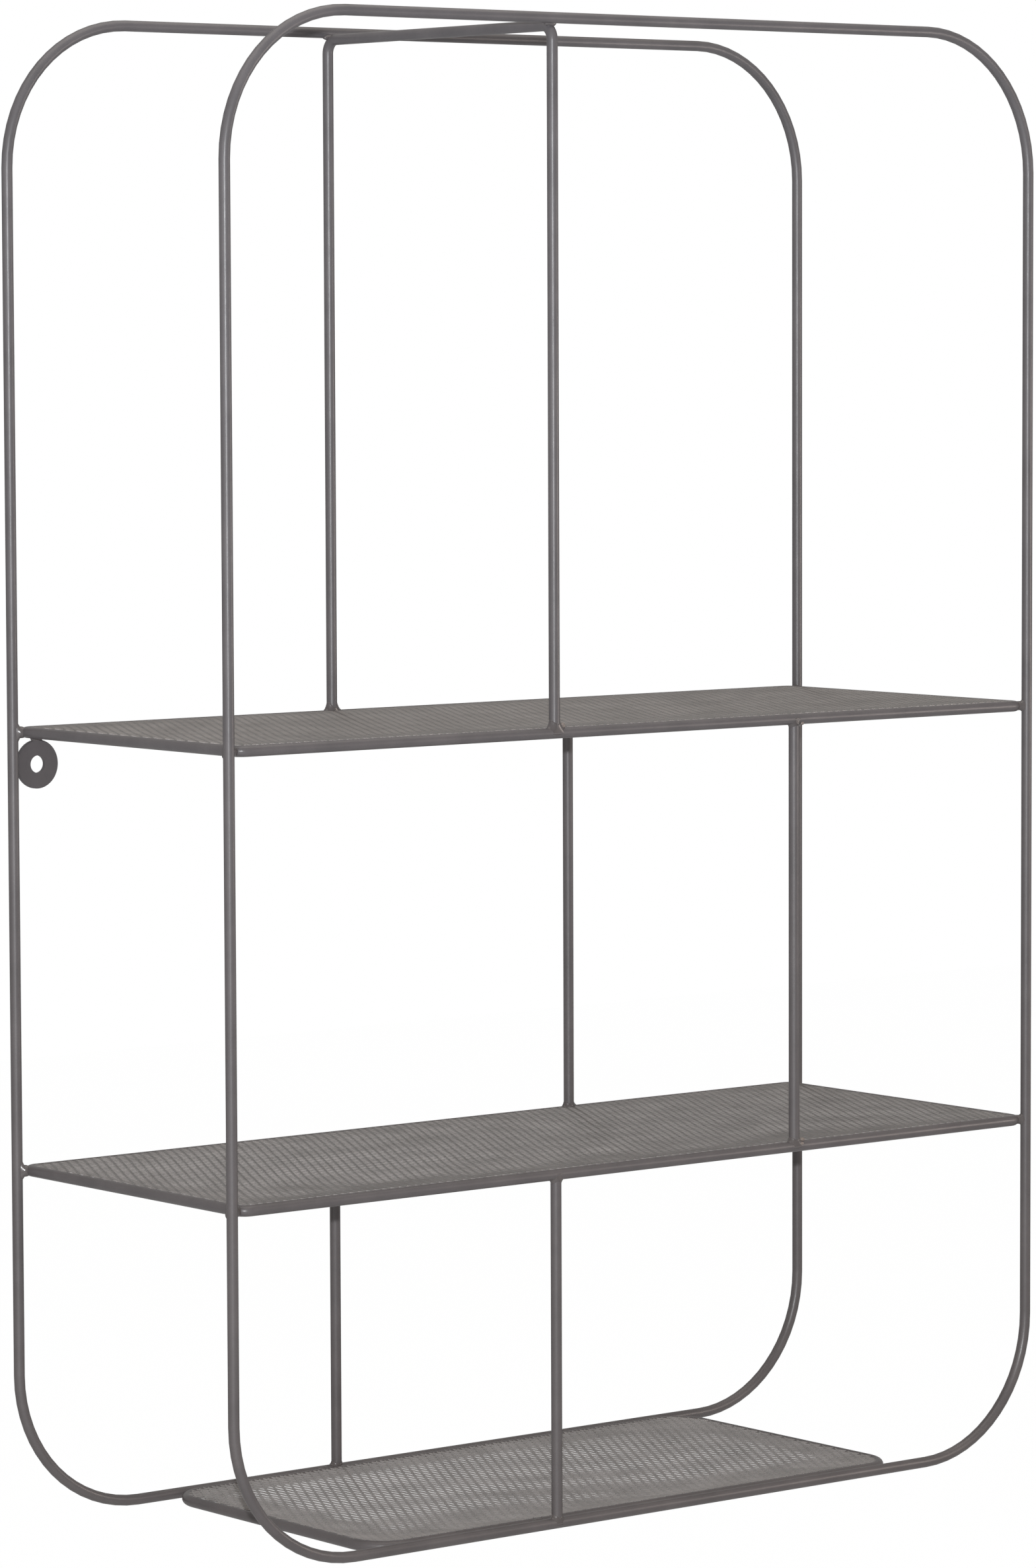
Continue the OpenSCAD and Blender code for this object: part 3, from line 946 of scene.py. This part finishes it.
def make_world():
    """White where it is seen, and a weak warm light on all sides."""
    world = bpy.data.worlds.new("white_studio")
    bpy.context.scene.world = world
    world.use_nodes = True
    tree = world.node_tree
    ambient = tree.nodes["Background"]
    ambient.inputs["Color"].default_value = (*WARM, 1)
    ambient.inputs["Strength"].default_value = AMBIENT
    shown = tree.nodes.new("ShaderNodeBackground")
    shown.inputs["Color"].default_value = (*WHITE, 1)
    shown.inputs["Strength"].default_value = 1
    mixed_surface(tree, seen_directly(tree), ambient, shown, "World Output")


def make_lamp(name, place, width, height, radiance, colour=WHITE):
    """A soft rectangular lamp whose face shines with the same radiance at any size."""
    data = bpy.data.lights.new(name, "AREA")
    data.shape = "RECTANGLE"
    data.size = width
    data.size_y = height
    data.energy = radiance * math.pi * width * height
    data.color = colour
    lamp = bpy.data.objects.new(name, data)
    lamp.location = place
    lamp.rotation_euler = (LAMP_AIM - Vector(place)).to_track_quat("-Z", "Y").to_euler()
    lamp.visible_camera = False
    bpy.context.scene.collection.objects.link(lamp)


def make_flash():
    """The small hard light just above the camera. Its share of the light draws the sharp
    shadow bands under the shelves."""
    data = bpy.data.lights.new("camera_flash", "POINT")
    data.shadow_soft_size = FLASH_R
    data.energy = FLASH_SHARE * (2 * math.pi * CAMERA_DISTANCE) ** 2
    data.color = COOL
    lamp = bpy.data.objects.new("camera_flash", data)
    lamp.location = CAMERA_AIM + camera_back() * CAMERA_DISTANCE + Vector((0, 0, FLASH_RISE))
    bpy.context.scene.collection.objects.link(lamp)


def make_lamps():
    make_flash()
    make_lamp("top_box", (0, -0.1, 2.6), 3.0, 2.0, radiance=1.3, colour=WARM)
    make_lamp("right_panel", (1.3, -1.1, 0.5), 0.4, 0.45, radiance=8.0, colour=ROSY)
    make_lamp("left_fill", (-1.6, -0.6, 0.6), 0.8, 1.2, radiance=1.1)


# The coats, which the last word of a node's name decides

rod = rod_material()
disc = shaded_disc_material()
# Each net's turned and facing factors are painted light and shade on its strands' faces.
upper_coat = net_material("upper_net_coat_taupe", tone=1.22, turned=0.68, facing=2.6)
middle_coat = net_material("middle_net_coat_taupe", tone=1.2, turned=0.78, facing=2.0)
# The tray's higher tone is painted light, for the brighter light that falls on the tray.
tray_coat = net_material("tray_net_coat_taupe", tone=1.62, turned=1.06, facing=0.92)
weld = weld_material()
pale = spatter_and_highlight_material()
coats = {"mesh": middle_coat, "welds": weld, "eyelet": disc}
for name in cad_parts:
    dress_node(name, coats.get(name.split("_")[-1], rod))

# The sheets

divider_feet = [(DIVIDER_X, side * LOOP_Y) for side in (FRONT, REAR)]
post_feet = [(MIDDLE_POST_X, side * LOOP_Y) for side in (FRONT, REAR)]
upper_sheet = Net(UPPER, step=2.9 * MM, length=10.8 * MM, dish=1.3 * MM, ripple=0.12 * MM,
                  posts=divider_feet)
middle_sheet = Net(MIDDLE, step=2.84 * MM, length=11.0 * MM, dish=1.6 * MM, ripple=0.2 * MM,
                   posts=post_feet, dents=[(-175 * MM, -30 * MM, 1.4 * MM)])
tray_sheet = Net(TRAY, step=3.1 * MM, length=11.7 * MM, dish=4.8 * MM, ripple=0.2 * MM)
make_net("upper_shelf_net", "upper_shelf_mesh", upper_sheet, upper_coat)
make_net("middle_shelf_net", "middle_shelf_mesh", middle_sheet, middle_coat)
make_net("tray_net", "tray_mesh", tray_sheet, tray_coat)

# The welds

corner_beads(weld)
post_beads(weld, pale)
divider_beads(weld, pale)
tray_beads(weld)
eyelet_beads(weld)

make_camera()
make_floor()
make_world()
make_lamps()
bpy.context.scene.view_settings.view_transform = "Standard"
